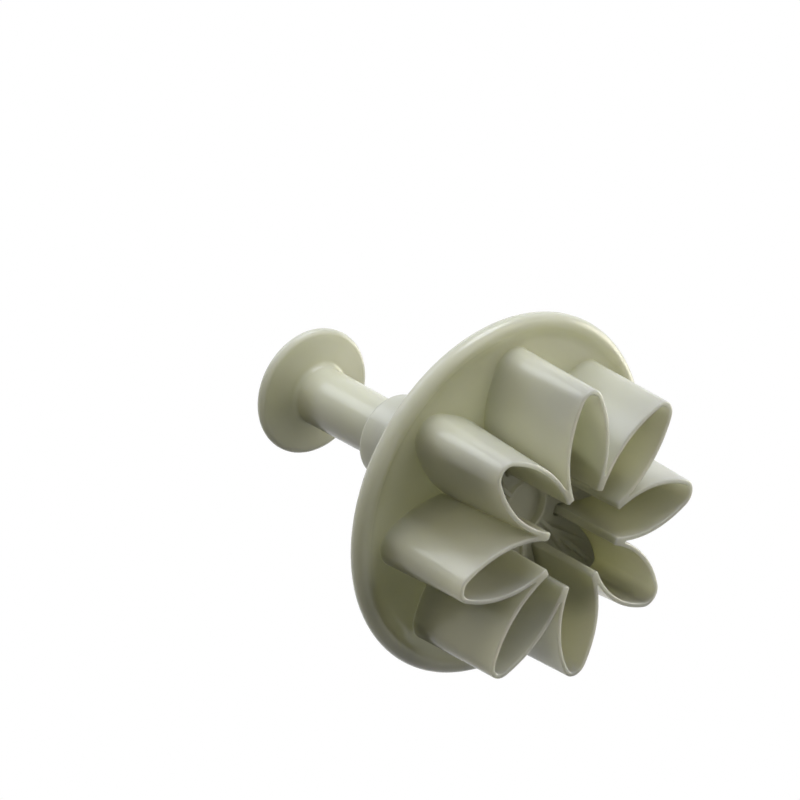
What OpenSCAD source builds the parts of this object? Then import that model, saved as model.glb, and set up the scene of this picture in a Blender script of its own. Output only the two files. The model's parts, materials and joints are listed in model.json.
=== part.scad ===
// Daisy plunger cutter for sugar paste and pastry, one cutter of the largest size.
// The flower wall, the flange and the guide sleeve are one moulding. A sprung plunger
// slides in the sleeve and pushes an embossing plate down inside the flower wall.
// The cutting edge lies at z = 0 and the thumb disc points up.

/* [Flower] */
// Number of petals
petal_count = 8; // [6:1:9]
// Distance from the axis to a petal's tip
tip_reach = 22.2; // [20:0.2:26]
// Width of a petal at its widest place, outside
petal_w = 8; // [7:0.25:9]
// Distance from the axis to the widest place of a petal
belly_reach = 12.9; // [11.5:0.1:13.5]
// Radius of a petal's rounded tip, outside
tip_r = 2.2; // [1.4:0.1:2.4]
// Radius of the open centre, where the walls between the petals end
core_r = 7; // [6.2:0.1:7.4]
// Thickness of the petal wall at the cutting edge
wall_t = 0.7; // [0.6:0.05:1]
// Height of the petal wall below the flange
wall_h = 15; // [12:0.5:20]
// How far the outside of the wall widens from the cutting edge up to the flange
wall_flare = 1.1; // [0:0.1:1.4]
// Width of the blunt bottom of the notch between two petals
notch_w = 0.4; // [0.3:0.05:0.8]

/* [Flange] */
// Diameter of the flange
flange_d = 54.8; // [50:0.2:60]
// Thickness of the rounded bead along the flange's edge
bead_t = 2.8; // [2.4:0.1:3.4]
// Thickness of the web between the bead and the sleeve
web_t = 1.6; // [1.2:0.1:2]
// How far the bead stands proud of the web on the petal side
lip_h = 0.7; // [0.5:0.1:0.8]

/* [Guide sleeve] */
// Outer diameter of the sleeve
sleeve_d = 13.5; // [13:0.1:15]
// Bore of the sleeve
sleeve_bore_d = 11.3; // [10.9:0.1:11.7]
// Height of the sleeve above the web
sleeve_h = 24.2; // [22:0.2:28]
// Thickness of the sleeve's floor, which guides the post
floor_t = 3; // [2.6:0.2:4]
// Radius of the fillet where the sleeve meets the web
sleeve_fillet = 0.9; // [0.4:0.1:1.5]

/* [Plunger] */
// Diameter of the thumb disc
disc_d = 21.2; // [19:0.2:24]
// Thickness of the thumb disc at its edge
disc_t = 1.75; // [1.4:0.05:2.2]
// Depth of the dish in the thumb disc
dish_h = 0.5; // [0.2:0.05:0.7]
// How far the disc's underside swells towards the stem
disc_swell = 0.8; // [0.4:0.1:1.2]
// Height of the disc's underside above the sleeve's rim, released
disc_lift = 19.6; // [17:0.2:24]
// Diameter of the stem under the disc
stem_top_d = 9.7; // [9.3:0.1:10.2]
// Diameter of the stem at its lower end
stem_low_d = 8.9; // [8.5:0.1:9.2]
// Radius of the fillet between the stem and the disc
stem_fillet = 1; // [0.5:0.1:1.6]
// Length of stem inside the sleeve, released
stem_in_sleeve = 5; // [4:0.2:6]
// Size of the chamfers on the stem's lower end and on the post's upper end
chamfer = 0.4; // [0.2:0.1:0.6]

/* [Embossing plate] */
// Gap between the plate and the petal wall
plate_gap = 0.35; // [0.3:0.05:0.4]
// Thickness of the plate
plate_t = 2; // [1.6:0.1:2.4]
// Height of the hub that rests under the flange
hub_h = 1.2; // [0.8:0.1:1.6]
// Diameter of the hub
hub_d = 10; // [8:0.2:11]
// Height of the raised veins
vein_h = 0.5; // [0.3:0.1:1]
// Width of a vein
vein_w = 0.7; // [0.5:0.05:0.9]
// Angle between a petal's middle vein and its side veins
vein_angle = 11; // [8:1:13]
// Diameter of the sunk flower eye
eye_d = 7.4; // [6:0.2:8]
// Depth of the sunk flower eye
eye_h = 0.8; // [0.4:0.1:1.2]
// Diameter of the post
post_d = 5.8; // [5:0.1:6]
// Depth of the post's socket in the stem
socket_h = 8; // [6:0.5:12]
// Running clearance of the post in the floor, on the radius
guide_clear = 0.1; // [0.05:0.01:0.1]
// Interference of the post in the socket, on the radius
press = 0.02; // [0.01:0.01:0.03]
// Gap between the hub and the flange, released
stop_gap = 0.1; // [0.05:0.05:0.2]
// Room for air between the post's end and the bottom of its socket
end_gap = 0.3; // [0.1:0.1:1]

/* [Return spring] */
// Diameter of the spring wire
wire_d = 0.7; // [0.6:0.05:0.8]
// Diameter of the coil, measured on the wire's centre line
coil_d = 7.8; // [7.6:0.05:8]
// Number of turns, the two end turns included
turns = 8; // [6:1:9]
// Clear gap between neighbouring end turns
end_turn_gap = 0.5; // [0.45:0.05:0.7]
// Gap between the spring and each seat
seat_gap = 0.1; // [0.05:0.05:0.2]

/* [Hidden] */

$fn = 96;
// Sides of the long flank arcs and the dish, and of the small petal tips
large_arc_sides = 180;
tip_sides = 36;
// Overlap that keeps every join and cut clean
eps = 0.05;

petal_step = 360 / petal_count;

// A petal's flank is an arc about a point beside the petal's middle line. The arc touches
// the tip circle, and it is widest at belly_reach. The flank ends a little before it touches,
// so that its end stands clear of the circle, as far as touch_lead times the circle's radius.
touch_lead = 0.08;
tip_x = tip_reach - tip_r;
flank_run = tip_x - belly_reach;
flank_drop = petal_w / 2 - tip_r;
flank_off = (flank_run * flank_run - flank_drop * flank_drop) / (2 * flank_drop);
flank_r = flank_off + petal_w / 2;
flank_end = flank_run / (flank_r - tip_r) - touch_lead;

// Heights, from the cutting edge up
web_lo = wall_h;
web_hi = web_lo + web_t;
bead_z = web_lo - lip_h + bead_t / 2;
floor_z = web_lo + floor_t;
rim_z = web_hi + sleeve_h;
shoulder_z = rim_z - stem_in_sleeve;
disc_lo = rim_z + disc_lift;
disc_hi = disc_lo + disc_t;
plate_hi = web_lo - stop_gap - hub_h;
plate_lo = plate_hi - plate_t;
post_top = shoulder_z + socket_h - end_gap;

// The petal wall runs on halfway into the web, and keeps widening there
block_h = web_lo + web_t / 2;
block_flare = wall_flare * block_h / wall_h;

sleeve_wall = (sleeve_d - sleeve_bore_d) / 2;
flange_r = flange_d / 2;
post_r = post_d / 2;
plate_inset = wall_t + plate_gap;
eye_r = eye_d / 2;

ivory = [0.86, 0.87, 0.79];
steel = [0.72, 0.73, 0.75];

// The outside of a flank, a cone that widens from the cutting edge up
module flank_cone(side) {
  translate([belly_reach, side * flank_off, 0])
    cylinder(h = block_h, r1 = flank_r, r2 = flank_r + block_flare, $fn = large_arc_sides);
}

// The outside of one petal. A slanted cut ends the flanks where the tip's cone takes over,
// and flat cuts keep them clear of the petals beside this one.
module petal_block() {
  cut_lo = tip_x + tip_r * flank_end;
  cut_hi = cut_lo + block_flare * flank_end;
  corner = 2 * tip_reach * [cos(petal_step / 2), sin(petal_step / 2)];
  intersection() {
    flank_cone(-1);
    flank_cone(1);
    rotate([90, 0, 0]) linear_extrude(2 * petal_w, center = true)
      polygon([[0, 0], [cut_lo, 0], [cut_hi, block_h], [0, block_h]]);
    translate([eps / sin(petal_step / 2), 0, 0])
      linear_extrude(block_h) polygon([[0, 0], [corner.x, -corner.y], corner]);
  }
  translate([tip_x, 0, 0])
    cylinder(h = block_h, r1 = tip_r, r2 = tip_r + block_flare, $fn = tip_sides);
}

// How far out the notch between two petals starts, for flanks of the given radius. There
// they stand notch_w apart. Where they never come so near, the open centre's wall ends it.
function notch_start(r) =
  let (
    half_step = petal_step / 2,
    out = belly_reach * cos(half_step) - flank_off * sin(half_step),
    aside = belly_reach * sin(half_step) + flank_off * cos(half_step) - notch_w / 2
  )
  max(core_r + wall_t / 2, out + sqrt(max(0, r * r - aside * aside)));

// The web where the walls of two petals run together, with a blunt outer end
module notch_web() {
  rotate([90, 0, 0]) linear_extrude(2 * notch_w, center = true) polygon([
    [core_r, 0],
    [notch_start(flank_r), 0],
    [notch_start(flank_r + block_flare), block_h],
    [core_r, block_h]
  ]);
}

// The outside of the whole flower, filled up to the wall's end in the web
module flower_block() {
  for (k = [0 : petal_count - 1]) {
    rotate(k * petal_step) petal_block();
    rotate((k + 0.5) * petal_step) notch_web();
  }
  cylinder(h = block_h, r = core_r + wall_t);
}

// One petal's outline, set back from the cutting edge's outer line by inset
module petal(inset) {
  arc_r = flank_r - inset;
  round_r = tip_r - inset;
  cut_x = tip_x + max(round_r, 0) * flank_end;
  intersection() {
    translate([belly_reach, -flank_off]) circle(r = arc_r, $fn = large_arc_sides);
    translate([belly_reach, flank_off]) circle(r = arc_r, $fn = large_arc_sides);
    translate([0, -petal_w]) square([round_r > 0 ? cut_x : tip_reach, 2 * petal_w]);
  }
  if (round_r > 0) translate([tip_x, 0]) circle(r = round_r, $fn = tip_sides);
}

// The whole flower's outline, set back from the cutting edge's outer line by inset
module flower(inset) {
  for (k = [0 : petal_count - 1]) rotate(k * petal_step) petal(inset);
  circle(r = core_r + wall_t - inset);
}

// The fillet between an upright round wall and a flat face below it
module ring_fillet(r, fillet_r) {
  rotate_extrude() translate([r - eps, -eps]) difference() {
    square(fillet_r + eps);
    translate([fillet_r + eps, fillet_r + eps]) circle(r = fillet_r);
  }
}

module flange() {
  translate([0, 0, web_lo]) cylinder(h = web_t, r = flange_r - bead_t / 2);
  rotate_extrude() translate([flange_r - bead_t / 2, bead_z]) circle(r = bead_t / 2);
}

// The sleeve, solid inside, with a round rim and a small fillet at its foot
module sleeve() {
  round_z = rim_z - sleeve_wall / 2;
  translate([0, 0, web_lo]) cylinder(h = round_z - web_lo, d = sleeve_d);
  translate([0, 0, web_hi]) ring_fillet(sleeve_d / 2, sleeve_fillet);
  translate([0, 0, round_z])
    rotate_extrude() translate([(sleeve_d - sleeve_wall) / 2, 0]) circle(r = sleeve_wall / 2);
}

module cutter_body() color(ivory) {
  difference() {
    union() {
      flower_block();
      flange();
      sleeve();
    }
    translate([0, 0, -eps]) linear_extrude(web_lo + eps) flower(wall_t);
    translate([0, 0, floor_z]) cylinder(h = sleeve_h + web_t, d = sleeve_bore_d);
    translate([0, 0, web_lo - eps]) cylinder(h = floor_t + 2 * eps, r = post_r + guide_clear);
  }
}

// The thumb disc has a round edge, a shallow dish on top and a swollen underside
module thumb_disc() {
  edge_r = disc_t / 2;
  dish_r = disc_d / 2 - disc_t;
  ball_r = (dish_r * dish_r + dish_h * dish_h) / (2 * dish_h);
  difference() {
    union() {
      translate([0, 0, disc_lo]) cylinder(h = disc_t, r = disc_d / 2 - edge_r);
      translate([0, 0, disc_lo + edge_r])
        rotate_extrude() translate([disc_d / 2 - edge_r, 0]) circle(r = edge_r);
      translate([0, 0, disc_lo - disc_swell])
        cylinder(h = disc_swell + eps, r1 = stem_top_d / 2 + stem_fillet, r2 = disc_d / 2 - edge_r);
    }
    translate([0, 0, disc_hi - dish_h + ball_r]) sphere(r = ball_r, $fn = large_arc_sides);
  }
}

module stem() {
  taper_lo = shoulder_z + chamfer;
  translate([0, 0, shoulder_z])
    cylinder(h = chamfer, r1 = stem_low_d / 2 - chamfer, r2 = stem_low_d / 2);
  translate([0, 0, taper_lo])
    cylinder(h = disc_lo + eps - taper_lo, r1 = stem_low_d / 2, r2 = stem_top_d / 2);
  translate([0, 0, disc_lo - disc_swell]) mirror([0, 0, 1])
    ring_fillet(stem_top_d / 2, stem_fillet);
}

module plunger() color(ivory) {
  difference() {
    union() {
      thumb_disc();
      stem();
    }
    translate([0, 0, shoulder_z - eps]) cylinder(h = socket_h + eps, r = post_r - press);
  }
}

// A petal's veins, drawn on the plate's lower face: one along the middle and one to each side
module veins() {
  root = eye_r + vein_w;
  side_root = core_r;
  long_end = tip_x - plate_inset;
  side_end = belly_reach + petal_w / 4;
  translate([root - eps, -vein_w / 2]) square([long_end - root, vein_w]);
  for (side = [-1, 1])
    translate([side_root, 0]) rotate(side * vein_angle)
      translate([0, -vein_w / 2]) square([side_end - side_root, vein_w]);
}

module embossing_plate() color(ivory) {
  difference() {
    union() {
      translate([0, 0, plate_lo]) linear_extrude(plate_t) flower(plate_inset);
      translate([0, 0, plate_lo - vein_h]) linear_extrude(vein_h + eps) {
        for (k = [0 : petal_count - 1]) rotate(k * petal_step) veins();
        circle(r = eye_r + vein_w);
      }
      translate([0, 0, plate_hi - eps]) cylinder(h = hub_h + eps, d = hub_d);
      translate([0, 0, plate_hi]) cylinder(h = post_top - chamfer - plate_hi, r = post_r);
      translate([0, 0, post_top - chamfer]) cylinder(h = chamfer, r1 = post_r, r2 = post_r - chamfer);
    }
    translate([0, 0, plate_lo - vein_h - eps]) cylinder(h = vein_h + eye_h + eps, r = eye_r);
  }
}

// The spring's wire follows a helix with close end turns. Its ends run straight.
ring_steps = 8;
wire_sides = 6;
spring_lo = floor_z + seat_gap;
spring_h = shoulder_z - seat_gap - spring_lo;
end_pitch = wire_d + end_turn_gap;
mid_pitch = (spring_h - wire_d - 2 * end_pitch) / (turns - 2);

function wire_rise(t) =
  t < 1 ? t * end_pitch
  : t > turns - 1 ? end_pitch + (turns - 2) * mid_pitch + (t - turns + 1) * end_pitch
  : end_pitch + (t - 1) * mid_pitch;
function wire_point(t) = [
  coil_d / 2 * cos(360 * t),
  coil_d / 2 * sin(360 * t),
  spring_lo + wire_d / 2 + wire_rise(t)
];
function straight_end(t, way) = wire_point(t) + way * wire_d * [-sin(360 * t), cos(360 * t), 0];

wire_path = [
  straight_end(0, -1),
  for (k = [0 : turns * ring_steps]) wire_point(k / ring_steps),
  straight_end(turns, 1)
];
last_ring = len(wire_path) - 1;

// A ring of the wire stands upright on the path, facing along the turn
function ring_turn(k) = k == 0 ? 0 : k == last_ring ? 360 * turns : 360 * (k - 1) / ring_steps;
function ring_point(k, side) =
  let (a = ring_turn(k), b = 360 * side / wire_sides, r = wire_d / 2)
  wire_path[k] + r * [cos(b) * cos(a), cos(b) * sin(a), sin(b)];

function wire_corner(k, side) = k * wire_sides + side % wire_sides;

wire_points = [for (k = [0 : last_ring]) for (s = [0 : wire_sides - 1]) ring_point(k, s)];
wire_skin = [
  for (k = [0 : last_ring - 1]) for (s = [0 : wire_sides - 1]) each [
    [wire_corner(k, s), wire_corner(k, s + 1), wire_corner(k + 1, s)],
    [wire_corner(k, s + 1), wire_corner(k + 1, s + 1), wire_corner(k + 1, s)]
  ]
];
wire_caps = [
  for (s = [1 : wire_sides - 2]) each [
    [wire_corner(0, 0), wire_corner(0, s + 1), wire_corner(0, s)],
    [wire_corner(last_ring, 0), wire_corner(last_ring, s), wire_corner(last_ring, s + 1)]
  ]
];

module return_spring() color(steel) {
  polyhedron(points = wire_points, faces = concat(wire_skin, wire_caps));
}

// The least clear gap between one turn of the wire and the turns beside it. Points fewer
// steps apart than this lie on the same stretch of wire.
next_turn_steps = ring_steps - 2;
turn_distances = [
  for (i = [0 : last_ring]) for (j = [i + next_turn_steps : 1 : last_ring])
    norm(wire_path[j] - wire_path[i])
];
echo("least gap between the spring's turns, mm", min(turn_distances) - wire_d);

cutter_body();
plunger();
embossing_plate();
return_spring();
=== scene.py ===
import json
from math import asin, atan2, cos, degrees, pi, radians, sin, sqrt

import bmesh
import bpy
from mathutils import Matrix, Vector

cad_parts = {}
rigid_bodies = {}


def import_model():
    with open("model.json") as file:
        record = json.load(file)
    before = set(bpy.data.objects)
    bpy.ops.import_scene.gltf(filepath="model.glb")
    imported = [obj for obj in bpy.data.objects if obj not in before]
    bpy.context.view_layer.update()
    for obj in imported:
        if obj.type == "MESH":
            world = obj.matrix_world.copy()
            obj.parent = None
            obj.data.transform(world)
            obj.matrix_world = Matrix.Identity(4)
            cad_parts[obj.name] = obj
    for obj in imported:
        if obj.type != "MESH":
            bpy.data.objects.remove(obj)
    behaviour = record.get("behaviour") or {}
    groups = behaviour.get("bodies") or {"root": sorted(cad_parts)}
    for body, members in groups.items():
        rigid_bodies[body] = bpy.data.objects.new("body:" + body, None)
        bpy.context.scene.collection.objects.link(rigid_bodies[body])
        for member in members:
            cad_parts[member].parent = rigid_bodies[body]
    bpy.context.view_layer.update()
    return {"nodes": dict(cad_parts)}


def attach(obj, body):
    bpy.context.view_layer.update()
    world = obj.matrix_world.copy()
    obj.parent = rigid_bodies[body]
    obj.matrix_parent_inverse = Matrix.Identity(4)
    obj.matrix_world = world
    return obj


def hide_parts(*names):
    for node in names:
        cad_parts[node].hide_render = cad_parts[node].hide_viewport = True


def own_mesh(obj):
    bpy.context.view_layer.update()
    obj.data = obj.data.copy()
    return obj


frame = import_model()

mm = 0.001
weldGap = 0.0005 * mm       # points nearer to each other than this become one


def deselectAll():
    if bpy.context.object and bpy.context.object.mode != "OBJECT":
        bpy.ops.object.mode_set(mode="OBJECT")
    bpy.ops.object.select_all(action="DESELECT")


def pick(piece):
    deselectAll()
    piece.select_set(True)
    bpy.context.view_layer.objects.active = piece


def addObject(name, data):
    thing = bpy.data.objects.new(name, data)
    bpy.context.scene.collection.objects.link(thing)
    return thing


def hexColour(code):
    # an sRGB code turned into the linear values that shaders take
    channels = [int(code[i:i + 2], 16) / 255 for i in (1, 3, 5)]
    return tuple(c / 12.92 if c <= 0.04045 else ((c + 0.055) / 1.055) ** 2.4 for c in channels) + (1,)


def arc(centreX, centreZ, radius, fromDeg, toDeg, steps):
    # points (x, z) on an arc, both ends included
    turns = [radians(fromDeg + (toDeg - fromDeg) * k / steps) for k in range(steps + 1)]
    return [(centreX + radius * cos(t), centreZ + radius * sin(t)) for t in turns]


# A moulding starts as a circle that is extruded again and again. Every point keeps its number
# along the ring in the "around" layer, so each new ring can be given its own outline.

def startRing(name, points, filled):
    deselectAll()
    bpy.ops.mesh.primitive_circle_add(vertices=len(points), radius=1)
    piece = bpy.context.object
    piece.name = piece.data.name = name
    bpy.ops.object.mode_set(mode="EDIT")
    if filled:
        bpy.ops.mesh.edge_face_add()
        bpy.ops.mesh.select_all(action="SELECT")
    edit = bmesh.from_edit_mesh(piece.data)
    layer = edit.verts.layers.int.new("around")
    edit.verts.ensure_lookup_table()
    for number, point in enumerate(edit.verts):
        point[layer] = number
        point.co = points[number]
    bmesh.update_edit_mesh(piece.data)
    return piece


def nextRing(piece, points):
    bpy.ops.mesh.extrude_edges_move(TRANSFORM_OT_translate={"value": (0, 0, 0)})
    edit = bmesh.from_edit_mesh(piece.data)
    layer = edit.verts.layers.int["around"]
    for point in edit.verts:
        if point.select:
            point.co = points[point[layer]]
    bmesh.update_edit_mesh(piece.data)


def makeMoulding(name, rings, solid):
    # a solid moulding gets a flat face at each end; the piece is left in edit mode
    piece = startRing(name, rings[0], filled=solid)
    for points in rings[1:]:
        nextRing(piece, points)
    if solid:
        bpy.ops.mesh.edge_face_add()
    return piece


def weldAndSmooth(piece, smoothDeg):
    # the piece comes in edit mode
    bpy.ops.mesh.select_all(action="SELECT")
    bpy.ops.mesh.remove_doubles(threshold=weldGap)
    bpy.ops.mesh.normals_make_consistent(inside=False)
    pick(piece)
    bpy.ops.object.shade_smooth_by_angle(angle=radians(smoothDeg))
    return piece


def finishPiece(piece, smoothDeg):
    weldAndSmooth(piece, smoothDeg)
    # flat faces keep their own normal, so only the fillets shade round
    bpy.ops.object.modifier_add(type="WEIGHTED_NORMAL")
    piece.modifiers[-1].keep_sharp = True
    bpy.ops.object.modifier_apply(modifier=piece.modifiers[-1].name)
    return piece


# the flower's outline at the cutting edge: flanks and tips are arcs, in mm
flower = {
    "petals": 8,
    "height": 15.0,
    "tipReach": 22.2,
    "petalWidth": 8.0,
    "bellyReach": 12.9,
    "tipRadius": 2.2,
    "coreRadius": 7.0,
    "wall": 0.7,
    "flare": 1.1,           # the outside widens by this from the cutting edge up to the flange
    "notchRound": 0.14,     # fillet in the outer notch between two petals
    "wedgeRound": 0.35,     # round corners where the walls end at the open centre
    "notchSteps": 5,
    "flankSteps": 15,
    "tipSteps": 6,
}
tipCentre = flower["tipReach"] - flower["tipRadius"]
flankRun = tipCentre - flower["bellyReach"]
flankDrop = flower["petalWidth"] / 2 - flower["tipRadius"]
flankOff = (flankRun ** 2 - flankDrop ** 2) / (2 * flankDrop)
flankRadius = flankOff + flower["petalWidth"] / 2
flankCentre = Vector((flower["bellyReach"], -flankOff))
halfPetalTurn = pi / flower["petals"]
betweenPetals = Vector((cos(halfPetalTurn), sin(halfPetalTurn)))
ringCount = 2 * flower["petals"] * (flower["notchSteps"] + flower["flankSteps"] + flower["tipSteps"])


def along(centre, radius, fromAngle, toAngle, steps):
    # an arc's points after its first one
    turns = [fromAngle + (toAngle - fromAngle) * (k + 1) / steps for k in range(steps)]
    return [centre + radius * Vector((cos(t), sin(t))) for t in turns]


def angleOf(v):
    return atan2(v.y, v.x) % (2 * pi)


def petalHalf(inset, start, flankStart):
    # from the line between two petals, along the flank and round half of the tip
    toTip = atan2(flankOff, flankRun)
    half = start + along(flankCentre, flankRadius - inset, flankStart, toTip, flower["flankSteps"])
    centre, radius = Vector((tipCentre, 0)), flower["tipRadius"] - inset
    return half + along(centre, radius, toTip, 0, flower["tipSteps"])


def allRound(half, z):
    # a petal is the half and its mirror image, and the petals repeat about the axis
    petal = [Vector((p.x, -p.y)) for p in half] + half[-2:0:-1]
    ring = []
    for k in range(flower["petals"]):
        turn = Matrix.Rotation(2 * halfPetalTurn * k, 2)
        ring += [turn @ p for p in petal]
    return [Vector((p.x, p.y, z)) * mm for p in ring]


def outerRing(inset, z):
    # the outside of the petals, wider towards the flange, with a fillet in each notch
    inset -= flower["flare"] * z / flower["height"]
    fillet = flower["notchRound"] + max(inset, 0)
    reach = flankRadius - inset + fillet
    middle = betweenPetals.dot(flankCentre)
    centre = betweenPetals * (middle + sqrt(middle ** 2 - flankCentre.length_squared + reach ** 2))
    flankStart = angleOf(centre - flankCentre)
    start = [centre - fillet * betweenPetals]
    start += along(centre, fillet, halfPetalTurn + pi, flankStart + pi, flower["notchSteps"])
    return allRound(petalHalf(inset, start, flankStart), z)


def innerRing(inset, z):
    # the inside of the petals, where the walls end in blunt wedges round the open centre
    corner = flower["wedgeRound"] + inset - flower["wall"]
    endRadius = flower["coreRadius"] + flower["wall"] - inset
    fromAxis, fromFlank = endRadius + corner, flankRadius - inset + corner
    apart = flankCentre.length
    share = (fromAxis ** 2 - fromFlank ** 2 + apart ** 2) / (2 * apart)
    unit = flankCentre.normalized()
    centre = share * unit + sqrt(fromAxis ** 2 - share ** 2) * Vector((-unit.y, unit.x))
    start = [endRadius * betweenPetals]
    start += along(Vector((0, 0)), endRadius, halfPetalTurn, angleOf(centre), 1)
    fromTurn, toTurn = angleOf(-centre), angleOf(flankCentre - centre)
    start += along(centre, corner, fromTurn, toTurn, flower["notchSteps"] - 1)
    return allRound(petalHalf(inset, start, angleOf(centre - flankCentre)), z)


def roundRing(radius, z, count=ringCount):
    # numbered as the flower's rings are, from the same line between two petals
    turns = [2 * pi * k / count - halfPetalTurn for k in range(count)]
    return [Vector((radius * cos(t), radius * sin(t), z)) * mm for t in turns]


# cutter body: petal wall, flange and sleeve, moulded in one piece
cutter = {
    "edgeRound": 0.22,      # the cutting edge is rounded on both sides
    "baseFillet": 0.12,     # where the petals stand on the flange
    "beadCentre": 26.0,
    "beadHeight": 15.7,
    "beadRadius": 1.4,
    "coveBelow": 3.0,       # fillets between the bead and the flat of the flange
    "coveAbove": 0.8,
    "webTop": 16.6,
    "sleeveRadius": 6.75,
    "sleeveFillet": 0.9,
    "boreRadius": 5.65,
    "boreFillet": 0.4,
    "rimTop": 40.8,
    "floorTop": 18.0,
    "guideRadius": 3.0,
    "guideChamfer": 0.2,
    "insideRings": (12, 8, 4, 1),   # heights of the rings between the flower's ends
    "outsideRings": (1, 4, 8, 11),
    "smoothDeg": 40,
}


def beadCove(flat, radius, side):
    # a fillet that touches the bead and a flat: its centre, and its lean on the bead in degrees
    centreZ = flat + side * radius
    rise = centreZ - cutter["beadHeight"]
    lean = degrees(asin(abs(rise) / (cutter["beadRadius"] + radius)))
    return cutter["beadCentre"] - (cutter["beadRadius"] + radius) * cos(radians(lean)), centreZ, lean


def makeCutterBody():
    c = cutter
    e, f, s, b = (c[k] for k in ("edgeRound", "baseFillet", "sleeveFillet", "boreFillet"))
    g, guide, ground = (c[k] for k in ("guideChamfer", "guideRadius", "floorTop"))
    top, wall = flower["height"], flower["wall"]
    # inside of the flower, from its roof down and round the cutting edge
    rings = [roundRing(guide + g, top)]
    rings += [innerRing(wall, z) for z in (top, *c["insideRings"])]
    rings += [innerRing(inset, z) for inset, z in arc(wall - e, e, e, 0, -90, 4)]
    # outside of the flower, up to the flange
    rings += [outerRing(inset, z) for inset, z in arc(e, e, e, 270, 180, 4)]
    rings += [outerRing(0, z) for z in c["outsideRings"]]
    rings += [outerRing(inset, z) for inset, z in arc(-f, top - f, f, 0, 90, 6)]
    # flange: petal side, bead and handle side
    lowX, lowZ, lowLean = beadCove(top, c["coveBelow"], -1)
    highX, highZ, highLean = beadCove(c["webTop"], c["coveAbove"], 1)
    section = arc(lowX, lowZ, c["coveBelow"], 90, lowLean, 4)
    fromDeg, toDeg = 180 + lowLean, 540 - highLean
    section += arc(c["beadCentre"], c["beadHeight"], c["beadRadius"], fromDeg, toDeg, 28)[1:]
    section += arc(highX, highZ, c["coveAbove"], -highLean, -90, 4)[1:]
    # sleeve, its round rim, and its bore down to the guide hole
    rim = (c["sleeveRadius"] - c["boreRadius"]) / 2
    section += arc(c["sleeveRadius"] + s, c["webTop"] + s, s, 270, 180, 6)
    section += arc(c["boreRadius"] + rim, c["rimTop"] - rim, rim, 0, 180, 10)
    section += arc(c["boreRadius"] - b, ground + b, b, 0, -90, 3)
    section += [(guide + g, ground), (guide, ground - g), (guide, top + g), (guide + g, top)]
    rings += [roundRing(r, z) for r, z in section]
    return finishPiece(makeMoulding("cutterBody", rings, solid=False), c["smoothDeg"])


cutterBody = makeCutterBody()
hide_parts("cutter_body")
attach(cutterBody, "cutter")
print("cutter body:", len(cutterBody.data.polygons), "faces")


# plunger: thumb disc and stem, moulded in one piece
plungerShape = {
    "around": 144,
    "discRadius": 10.6,
    "discLow": 60.4,
    "discThick": 1.75,
    "dish": 0.5,
    "dishRings": (2.4, 3.6, 4.8, 6, 7, 8, 8.5),
    "swell": 0.8,           # the underside bulges towards the stem
    "swellRing": (0.35, 0.65),      # one ring under the disc: shares of the run and the swell
    "swellBow": 0.05,       # how far that ring stands out of the straight cone
    "gateRadius": 0.55,     # the trimmed injection gate, in the middle of the dish
    "gateProud": 0.12,
    "gateRings": ((0.4, 1), (0.8, 1), (1, 0.6)),    # shares of its radius and its height
    "hollowRadius": 1.5,    # a faint ring pressed in round the gate
    "hollowSink": 0.06,
    "hollowFoot": 1.15,     # where it starts, as a share of the gate's radius
    "hollowLip": (0.85, 1.1),       # where it rises and where it ends, as shares of its own
    "hollowRise": 0.8,      # share of the sink that is left where it rises
    "stemTopRadius": 4.85,
    "stemLowRadius": 4.45,
    "stemFillet": 1.0,
    "shoulder": 35.8,
    "chamfer": 0.4,
    "socketRadius": 2.88,
    "socketTop": 43.8,
    "socketChamfer": 0.1,
    "lastRing": 0.3,        # share of the socket's radius that a flat face closes
    "smoothDeg": 40,
}


def makePlunger():
    p = plungerShape
    edge = p["discThick"] / 2
    top, flat = p["discLow"] + p["discThick"], p["discRadius"] - p["discThick"]
    ball = (flat ** 2 + p["dish"] ** 2) / (2 * p["dish"])

    def dish(r):
        return top - p["dish"] + ball - sqrt(ball ** 2 - r ** 2)

    # gate mark, hollow and dish, from the axis out
    gate, hollow, sink = p["gateRadius"], p["hollowRadius"], p["hollowSink"]
    rise, end = (hollow * share for share in p["hollowLip"])
    section = [(gate * r, dish(0) + p["gateProud"] * z) for r, z in p["gateRings"]]
    section += [(gate * p["hollowFoot"], dish(0) - sink)]
    section += [(rise, dish(hollow) - sink * p["hollowRise"]), (end, dish(end))]
    section += [(r, dish(r)) for r in p["dishRings"]]
    # round edge, and the underside down to the fillet on the stem
    f, low, swell = p["stemFillet"], p["discLow"], p["swell"]
    inner, outer = p["stemTopRadius"] + f, p["discRadius"] - edge
    slope = degrees(atan2(swell, outer - inner))
    section += arc(outer, low + edge, edge, 90, -90 - slope, 16)
    run, drop = p["swellRing"]
    section += [(inner + run * (outer - inner), low - swell * drop - p["swellBow"])]
    section += arc(inner, low - swell - f, f, 90, 180, 7)
    # shoulder that rests on the spring, and the socket for the post
    c, shoulder, stem = p["chamfer"], p["shoulder"], p["stemLowRadius"]
    section += [(stem, shoulder + c), (stem - c, shoulder)]
    c, socket, roof = p["socketChamfer"], p["socketRadius"], p["socketTop"]
    section += [(socket + c, shoulder), (socket, shoulder + c)]
    section += [(socket, roof), (socket * p["lastRing"], roof)]
    rings = [roundRing(r, z, p["around"]) for r, z in section]
    return finishPiece(makeMoulding("plungerMoulding", rings, solid=True), p["smoothDeg"])


plungerPiece = makePlunger()
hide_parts("plunger")
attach(plungerPiece, "plunger_unit")
print("plunger:", len(plungerPiece.data.polygons), "faces")


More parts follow.
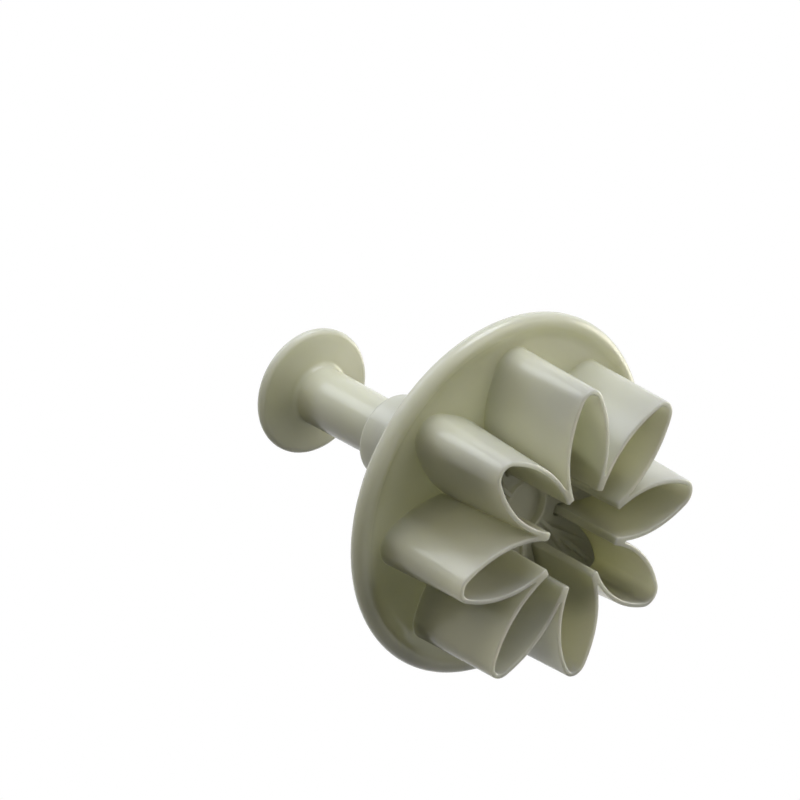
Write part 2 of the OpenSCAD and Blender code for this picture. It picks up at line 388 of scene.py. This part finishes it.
# embossing plate: pushes the paste out and presses veins into it
plate = {
    "inset": 1.05,          # from the outer line of the cutting edge
    "low": 11.7,
    "thick": 2.0,
    "edgeRound": 0.2,
    "fillet": 0.3,          # at the foot of the hub, the post and the raised ring
    "hubRadius": 5.0,
    "hubTop": 14.9,
    "postRadius": 2.9,
    "postTop": 43.5,
    "chamfer": 0.4,
    "eyeRadius": 3.7,
    "eyeSink": 0.8,
    "eyeFillet": 0.35,
    "firstRing": 0.4,       # radius that a flat face closes, in the middle of the eye
    "veinHigh": 0.5,
    "veinWide": 0.7,
    "veinAngle": 11,
    "veinRound": 0.2,
    "veinPast": 0.25,       # share of a petal's width that side veins run past its widest place
    "smoothDeg": 40,
}


def makeVein(reachFrom, reachTo, turnDeg, pivot):
    # a bar with round edges that stands out below the plate
    p = plate
    deselectAll()
    high = p["veinHigh"] + p["thick"] / 2
    middle = Vector(((reachFrom + reachTo) / 2, 0, p["low"] - p["veinHigh"] + high / 2))
    size = Vector((reachTo - reachFrom, p["veinWide"], high))
    bpy.ops.mesh.primitive_cube_add(size=1, location=middle * mm, scale=size * mm)
    vein = bpy.context.object
    bpy.ops.object.transform_apply(location=True, rotation=True, scale=True)
    bpy.ops.object.mode_set(mode="EDIT")
    bpy.ops.mesh.select_all(action="SELECT")
    bpy.ops.transform.rotate(value=radians(turnDeg), orient_axis="Z",
                             center_override=(pivot * mm, 0, 0))
    bpy.ops.mesh.select_all(action="DESELECT")
    edit = bmesh.from_edit_mesh(vein.data)
    bottom = (p["low"] - p["veinHigh"]) * mm + weldGap
    for edge in edit.edges:
        edge.select = all(v.co.z < bottom for v in edge.verts)
    bmesh.update_edit_mesh(vein.data)
    bpy.ops.mesh.bevel(offset=p["veinRound"] * mm, segments=3, profile=0.5)
    bpy.ops.object.mode_set(mode="OBJECT")
    return vein


def makeVeins():
    # three bars for each petal, all joined
    root = plate["eyeRadius"] + plate["veinWide"] / 2
    longEnd = tipCentre - plate["inset"]
    sideEnd = flower["bellyReach"] + plate["veinPast"] * flower["petalWidth"]
    core = flower["coreRadius"]
    bars = [makeVein(root, longEnd, 0, 0)]
    bars += [makeVein(core, sideEnd, side * plate["veinAngle"], core) for side in (-1, 1)]
    for bar in bars:
        bar.select_set(True)
    bpy.ops.object.join()
    petal = bpy.context.object
    copies = [petal]
    for k in range(1, flower["petals"]):
        copy = petal.copy()
        copy.data = petal.data.copy()
        copy.data.transform(Matrix.Rotation(2 * halfPetalTurn * k, 4, "Z"))
        bpy.context.scene.collection.objects.link(copy)
        copies += [copy]
    pick(petal)
    for copy in copies:
        copy.select_set(True)
    bpy.ops.object.join()
    return bpy.context.object


def makePlate():
    p = plate
    e, c, f, v, d = (p[k] for k in ("edgeRound", "chamfer", "fillet", "veinRound", "eyeFillet"))
    low, top, face = p["low"], p["low"] + p["thick"], p["low"] - p["veinHigh"]
    eye, sunk, outer = p["eyeRadius"], low + p["eyeSink"], p["eyeRadius"] + p["veinWide"]
    # the sunk eye and the raised ring round it
    section = [(p["firstRing"], sunk), (eye - d, sunk)] + arc(eye - d, sunk - d, d, 90, 0, 4)[1:]
    section += arc(eye + v, face + v, v, 180, 270, 3) + arc(outer - v, face + v, v, 270, 360, 3)
    section += arc(outer + f, low - f, f, 180, 90, 4)
    rings = [roundRing(r, z) for r, z in section]
    # the flower-shaped rim of the plate
    rings += [innerRing(inset, z) for inset, z in arc(p["inset"] + e, low + e, e, 270, 180, 3)]
    rings += [innerRing(inset, z) for inset, z in arc(p["inset"] + e, top - e, e, 180, 90, 3)]
    # hub and post
    hub, hubTop, post, postTop = (p[k] for k in ("hubRadius", "hubTop", "postRadius", "postTop"))
    back = arc(hub + f, top + f, f, 270, 180, 3) + arc(hub - e, hubTop - e, e, 0, 90, 3)
    back += arc(post + f, hubTop + f, f, 270, 180, 3)
    back += [(post, postTop - c), (post - c, postTop)]
    rings += [roundRing(r, z) for r, z in back]
    piece = finishPiece(makeMoulding("embossingPlate", rings, solid=True), p["smoothDeg"])
    veins = makeVeins()
    pick(piece)
    bpy.ops.object.modifier_add(type="BOOLEAN")
    join = piece.modifiers[-1]
    join.operation, join.solver, join.object, join.use_self = "UNION", "EXACT", veins, True
    bpy.ops.object.modifier_apply(modifier=join.name)
    bpy.data.objects.remove(veins)
    bpy.ops.object.mode_set(mode="EDIT")
    return finishPiece(piece, p["smoothDeg"])


platePiece = makePlate()
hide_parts("embossing_plate")
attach(platePiece, "plunger_unit")
print("embossing plate:", len(platePiece.data.polygons), "faces")


# return spring: drawn steel wire, wound with close end turns
spring = {
    "wire": 0.7,
    "coil": 7.8,
    "turns": 8,
    "low": 18.1,
    "high": 35.7,
    "endPitch": 1.2,
    "pointsPerTurn": 24,
    "travel": 12.0,         # how far the plunger presses it
    "smoothDeg": 50,
}


def makeSpring():
    s = spring
    rise = s["high"] - s["low"] - s["wire"]
    midPitch = (rise - 2 * s["endPitch"]) / (s["turns"] - 2)
    count = s["turns"] * s["pointsPerTurn"]
    curve = bpy.data.curves.new("returnSpring", "CURVE")
    curve.dimensions = "3D"
    curve.bevel_depth = s["wire"] / 2 * mm
    curve.bevel_resolution = 3
    curve.use_fill_caps = True
    wire = curve.splines.new("POLY")
    wire.points.add(count)
    z = s["low"] + s["wire"] / 2
    for k, point in enumerate(wire.points):
        turn = k / s["pointsPerTurn"]
        x, y = s["coil"] / 2 * cos(2 * pi * turn), s["coil"] / 2 * sin(2 * pi * turn)
        point.co = (x * mm, y * mm, z * mm, 1)
        nearEnd = turn < 1 or turn >= s["turns"] - 1
        z += (s["endPitch"] if nearEnd else midPitch) / s["pointsPerTurn"]
    pick(addObject("returnSpring", curve))
    bpy.ops.object.convert(target="MESH")
    bpy.ops.object.mode_set(mode="EDIT")
    return weldAndSmooth(bpy.context.object, s["smoothDeg"])


springPiece = makeSpring()
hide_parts("return_spring")
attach(springPiece, "cutter")
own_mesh(springPiece)
print("return spring:", len(springPiece.data.polygons), "faces")


# materials

def clearNodes(owner):
    owner.use_nodes = True
    owner.node_tree.nodes.clear()
    return owner


def newMaterial(name):
    return clearNodes(bpy.data.materials.new(name))


def addNode(owner, kind, values=None, links=None, **settings):
    # the owner is a material or the world
    node = owner.node_tree.nodes.new(kind)
    for name, value in settings.items():
        setattr(node, name, value)
    for socket, value in (values or {}).items():
        node.inputs[socket].default_value = value
    for socket, source in (links or {}).items():
        owner.node_tree.links.new(source, node.inputs[socket])
    return node


# every noise has its size in mm in its scale
plastic = {
    "colour": "#E0E0CE",
    "cloudy": "#D9D9C3",        # slow drift of the tint where the melt cooled last
    "cloud": {"Scale": 1 / (9.0 * mm), "Detail": 3},
    "roughness": 0.22,          # under 0.27 all over, or the denoiser draws patches along that line
    "roughnessDrift": 0.04,
    "smudge": {"Scale": 1 / (4.0 * mm), "Detail": 5, "Roughness": 0.6},
    "grain": {"Scale": 1 / (0.45 * mm), "Detail": 2},   # mould polish, coarser than life to show
    "grainDepth": 0.0015,       # mm
    "wave": {"Scale": 1 / (5.0 * mm), "Detail": 1},     # unevenness of a large moulded face
    "waveDepth": 0.008,         # mm
    "depth": 4.0,               # mm that light travels in the plastic
    "depthByColour": (1, 1, 0.85),
    "through": 1.0,             # the thin petal walls glow on their shaded side
    "ior": 1.5,
    "sparkedRoughness": 0.5,    # the plate's own roughness and grain depth, and a painted shade on its colour
    "sparkedGrain": 4,
    # painted shade: the plate's colour is darkened by this factor, as if by the shade inside the cavity
    "paintedPlateShade": 0.95,
}


def mouldedIvoryPlastic(name, roughness, grainDepth, shade=1.0):
    # ABS from a polished mould: soft wide highlights, and light that seeps into thin walls
    s = plastic
    m = newMaterial(name)
    place = addNode(m, "ShaderNodeTexCoord").outputs["Object"]
    cloud = addNode(m, "ShaderNodeTexNoise", s["cloud"], {"Vector": place})
    # shade scales the colour down: painted shade, where 1 leaves the colour as written
    clean, cloudy = ([shade * c for c in hexColour(s[k])[:3]] + [1] for k in ("colour", "cloudy"))
    tint = addNode(m, "ShaderNodeMix", {6: clean, 7: cloudy}, {0: cloud.outputs["Fac"]},
                   data_type="RGBA")
    smudge = addNode(m, "ShaderNodeTexNoise", s["smudge"], {"Vector": place})
    low, high = roughness - s["roughnessDrift"], roughness + s["roughnessDrift"]
    gloss = addNode(m, "ShaderNodeMapRange", {"To Min": low, "To Max": high},
                    {"Value": smudge.outputs["Fac"]})
    grain = addNode(m, "ShaderNodeTexNoise", s["grain"], {"Vector": place})
    wave = addNode(m, "ShaderNodeTexNoise", s["wave"], {"Vector": place})
    fine = addNode(m, "ShaderNodeBump", {"Distance": grainDepth * mm},
                   {"Height": grain.outputs["Fac"]})
    bump = addNode(m, "ShaderNodeBump", {"Distance": s["waveDepth"] * mm},
                   {"Height": wave.outputs["Fac"], "Normal": fine.outputs["Normal"]})
    shader = addNode(m, "ShaderNodeBsdfPrincipled",
                     {"IOR": s["ior"], "Subsurface Weight": s["through"],
                      "Subsurface Radius": s["depthByColour"], "Subsurface Scale": s["depth"] * mm},
                     {"Base Color": tint.outputs[2], "Roughness": gloss.outputs["Result"],
                      "Normal": bump.outputs["Normal"]})
    addNode(m, "ShaderNodeOutputMaterial", links={"Surface": shader.outputs["BSDF"]})
    return m


steel = {
    "colour": "#B9BABC",
    "roughness": (0.15, 0.26),
    "streak": {"Scale": 1 / (0.12 * mm), "Detail": 2},      # scratches from the drawing die
}


def drawnSpringSteel():
    # hard-drawn steel wire: bright metal, faintly streaked by the die
    m = newMaterial("drawnSpringSteel")
    place = addNode(m, "ShaderNodeTexCoord").outputs["Object"]
    streak = addNode(m, "ShaderNodeTexNoise", steel["streak"], {"Vector": place})
    low, high = steel["roughness"]
    rough = addNode(m, "ShaderNodeMapRange", {"To Min": low, "To Max": high},
                    {"Value": streak.outputs["Fac"]})
    shader = addNode(m, "ShaderNodeBsdfPrincipled",
                     {"Base Color": hexColour(steel["colour"]), "Metallic": 1.0},
                     {"Roughness": rough.outputs["Result"]})
    addNode(m, "ShaderNodeOutputMaterial", links={"Surface": shader.outputs["BSDF"]})
    return m


def setMaterial(piece, material):
    piece.data.materials.clear()
    piece.data.materials.append(material)


grainDepth = plastic["grainDepth"]
bodyPlastic = mouldedIvoryPlastic("mouldedIvoryPlastic", plastic["roughness"], grainDepth)
# the plate's mould was left spark-eroded, a matt face; its colour is also darkened a little, painted
# shade for the deep cavity it sits in
platePlastic = mouldedIvoryPlastic("sparkedIvoryPlasticPaintedShade", plastic["sparkedRoughness"],
                                   grainDepth * plastic["sparkedGrain"], plastic["paintedPlateShade"])
wireSteel = drawnSpringSteel()
for piece in (cutterBody, plungerPiece):
    setMaterial(piece, bodyPlastic)
setMaterial(platePiece, platePlastic)
setMaterial(springPiece, wireSteel)
for node, material in (("cutter_body", bodyPlastic), ("plunger", bodyPlastic),
                       ("embossing_plate", platePlastic), ("return_spring", wireSteel)):
    setMaterial(frame["nodes"][node], material)
print("materials done")


# camera, as the photograph was taken
shot = {
    "aim": (7.727, -1.635, 37.171),     # mm, the point on the lens axis
    "distance": 245.03,                 # mm
    "azimuth": 36.533,
    "elevation": -44.132,
    "roll": -62.424,
    "lens": 74.2,
    "sensor": 36,
    "clip": (0.01, 10),                 # metres
}


def makeCamera():
    az, el, roll = (radians(shot[k]) for k in ("azimuth", "elevation", "roll"))
    back = Vector((sin(az) * cos(el), -cos(az) * cos(el), sin(el)))
    right = Vector((0, 0, 1)).cross(back).normalized()
    level = back.cross(right)
    up = cos(roll) * level - sin(roll) * right
    turn = Matrix((up.cross(back), up, back)).transposed()
    data = bpy.data.cameras.new("camera")
    data.lens, data.sensor_width = shot["lens"], shot["sensor"]
    data.clip_start, data.clip_end = shot["clip"]
    camera = addObject("camera", data)
    place = (Vector(shot["aim"]) + shot["distance"] * back) * mm
    camera.matrix_world = Matrix.Translation(place) @ turn.to_4x4()
    bpy.context.scene.camera = camera


makeCamera()

# studio: white all round, a pale floor under the cutting edge, and soft boxes
studio = {
    "backdrop": "#FFFFFF",      # what the camera and the gloss see
    "fill": 0.02,               # even light from all sides
    "fillColour": "#F2F2E0",
    "boxDistance": 0.9,         # metres
    "boxSize": 0.55,            # metres
    "middle": (0, 0, 0.03),     # metres, the point that the soft boxes face
    "fillLamps": ("left", "behind"),    # these leave no streak on the gloss
    "coolWhite": "#EFF4FD",
    "warmWhite": "#FFFAE6",
    "floorSize": 4.0,           # metres
    "floorDrop": 0.02,          # mm, so that the floor doesn't cut the cutting edge
    "floorColour": "#F0F0EE",
    "floorGlow": 0.66,          # what the soft boxes leave to pure white
    "floorNear": 0.12,          # metres from the axis where the floor starts to fade into white
    "floorFar": 0.9,            # and where it has gone
}
# each box: direction from the middle, watts, colour
softBoxes = {
    "overhead": ((0.940, 0.339, -0.039), 4.9, "coolWhite"),
    "overheadLeft": ((0.751, -0.243, 0.614), 2.2, "coolWhite"),
    "right": ((-0.072, 0.971, -0.227), 3.05, "warmWhite"),
    "rightFront": ((0.469, 0.486, -0.738), 1.25, "warmWhite"),
    "left": ((0.690, -0.697, 0.194), 1.55, "warmWhite"),
    "front": ((0.790, -0.004, -0.613), 0.4, "warmWhite"),
    "behind": ((-0.350, -0.140, 0.926), 0.8, "warmWhite"),
}


def makeWorld():
    # the backdrop for rays from the camera or the gloss, the faint fill for all others
    world = clearNodes(bpy.data.worlds.new("studio"))
    bpy.context.scene.world = world
    ray = addNode(world, "ShaderNodeLightPath").outputs
    mirror = addNode(world, "ShaderNodeMath", operation="MAXIMUM",
                     links={0: ray["Is Glossy Ray"], 1: ray["Is Transmission Ray"]})
    seen = addNode(world, "ShaderNodeMath", operation="MAXIMUM",
                   links={0: ray["Is Camera Ray"], 1: mirror.outputs[0]})
    soft = addNode(world, "ShaderNodeBackground",
                   {"Color": hexColour(studio["fillColour"]), "Strength": studio["fill"]})
    white = addNode(world, "ShaderNodeBackground", {"Color": hexColour(studio["backdrop"])})
    both = addNode(world, "ShaderNodeMixShader",
                   links={0: seen.outputs[0], 1: soft.outputs[0], 2: white.outputs[0]})
    addNode(world, "ShaderNodeOutputWorld", links={"Surface": both.outputs[0]})


def makeFloor():
    # the photograph looks up at the cutting edge, so the floor shows from above only
    s = studio
    deselectAll()
    bpy.ops.mesh.primitive_plane_add(size=s["floorSize"], location=(0, 0, -s["floorDrop"] * mm))
    floor = bpy.context.object
    floor.name = "floor"
    floor.visible_shadow = floor.visible_diffuse = False
    floor.visible_glossy = floor.visible_transmission = False
    paint = newMaterial("mattWhitePaint")
    board = addNode(paint, "ShaderNodeBsdfDiffuse", {"Color": hexColour(s["floorColour"])})
    glow = addNode(paint, "ShaderNodeEmission", {"Strength": s["floorGlow"]})
    lit = addNode(paint, "ShaderNodeAddShader", links={0: board.outputs[0], 1: glow.outputs[0]})
    clear = addNode(paint, "ShaderNodeBsdfTransparent")
    side = addNode(paint, "ShaderNodeNewGeometry").outputs["Backfacing"]
    place = addNode(paint, "ShaderNodeTexCoord").outputs["Object"]
    away = addNode(paint, "ShaderNodeVectorMath", links={0: place}, operation="LENGTH")
    fade = addNode(paint, "ShaderNodeMapRange", {"From Min": s["floorNear"], "From Max": s["floorFar"]},
                   {"Value": away.outputs["Value"]}, interpolation_type="SMOOTHSTEP")
    gone = addNode(paint, "ShaderNodeMath", operation="MAXIMUM",
                   links={0: side, 1: fade.outputs["Result"]})
    both = addNode(paint, "ShaderNodeMixShader",
                   links={0: gone.outputs[0], 1: lit.outputs[0], 2: clear.outputs[0]})
    addNode(paint, "ShaderNodeOutputMaterial", links={"Surface": both.outputs[0]})
    floor.data.materials.append(paint)


def addSoftBox(name, towards, power, colour):
    data = bpy.data.lights.new(name, "AREA")
    data.shape, data.size, data.energy = "DISK", studio["boxSize"], power
    data.color = hexColour(studio[colour])[:3]
    lamp = addObject(name, data)
    lamp.visible_glossy = name not in studio["fillLamps"]
    lamp.location = Vector(studio["middle"]) + studio["boxDistance"] * Vector(towards)
    lamp.rotation_mode = "QUATERNION"
    lamp.rotation_quaternion = Vector(towards).to_track_quat("Z", "Y")


makeWorld()
makeFloor()
for name, (towards, power, colour) in softBoxes.items():
    addSoftBox(name, towards, power, colour)
bpy.context.scene.view_settings.view_transform = "Standard"
print("studio:", len(softBoxes), "soft boxes")
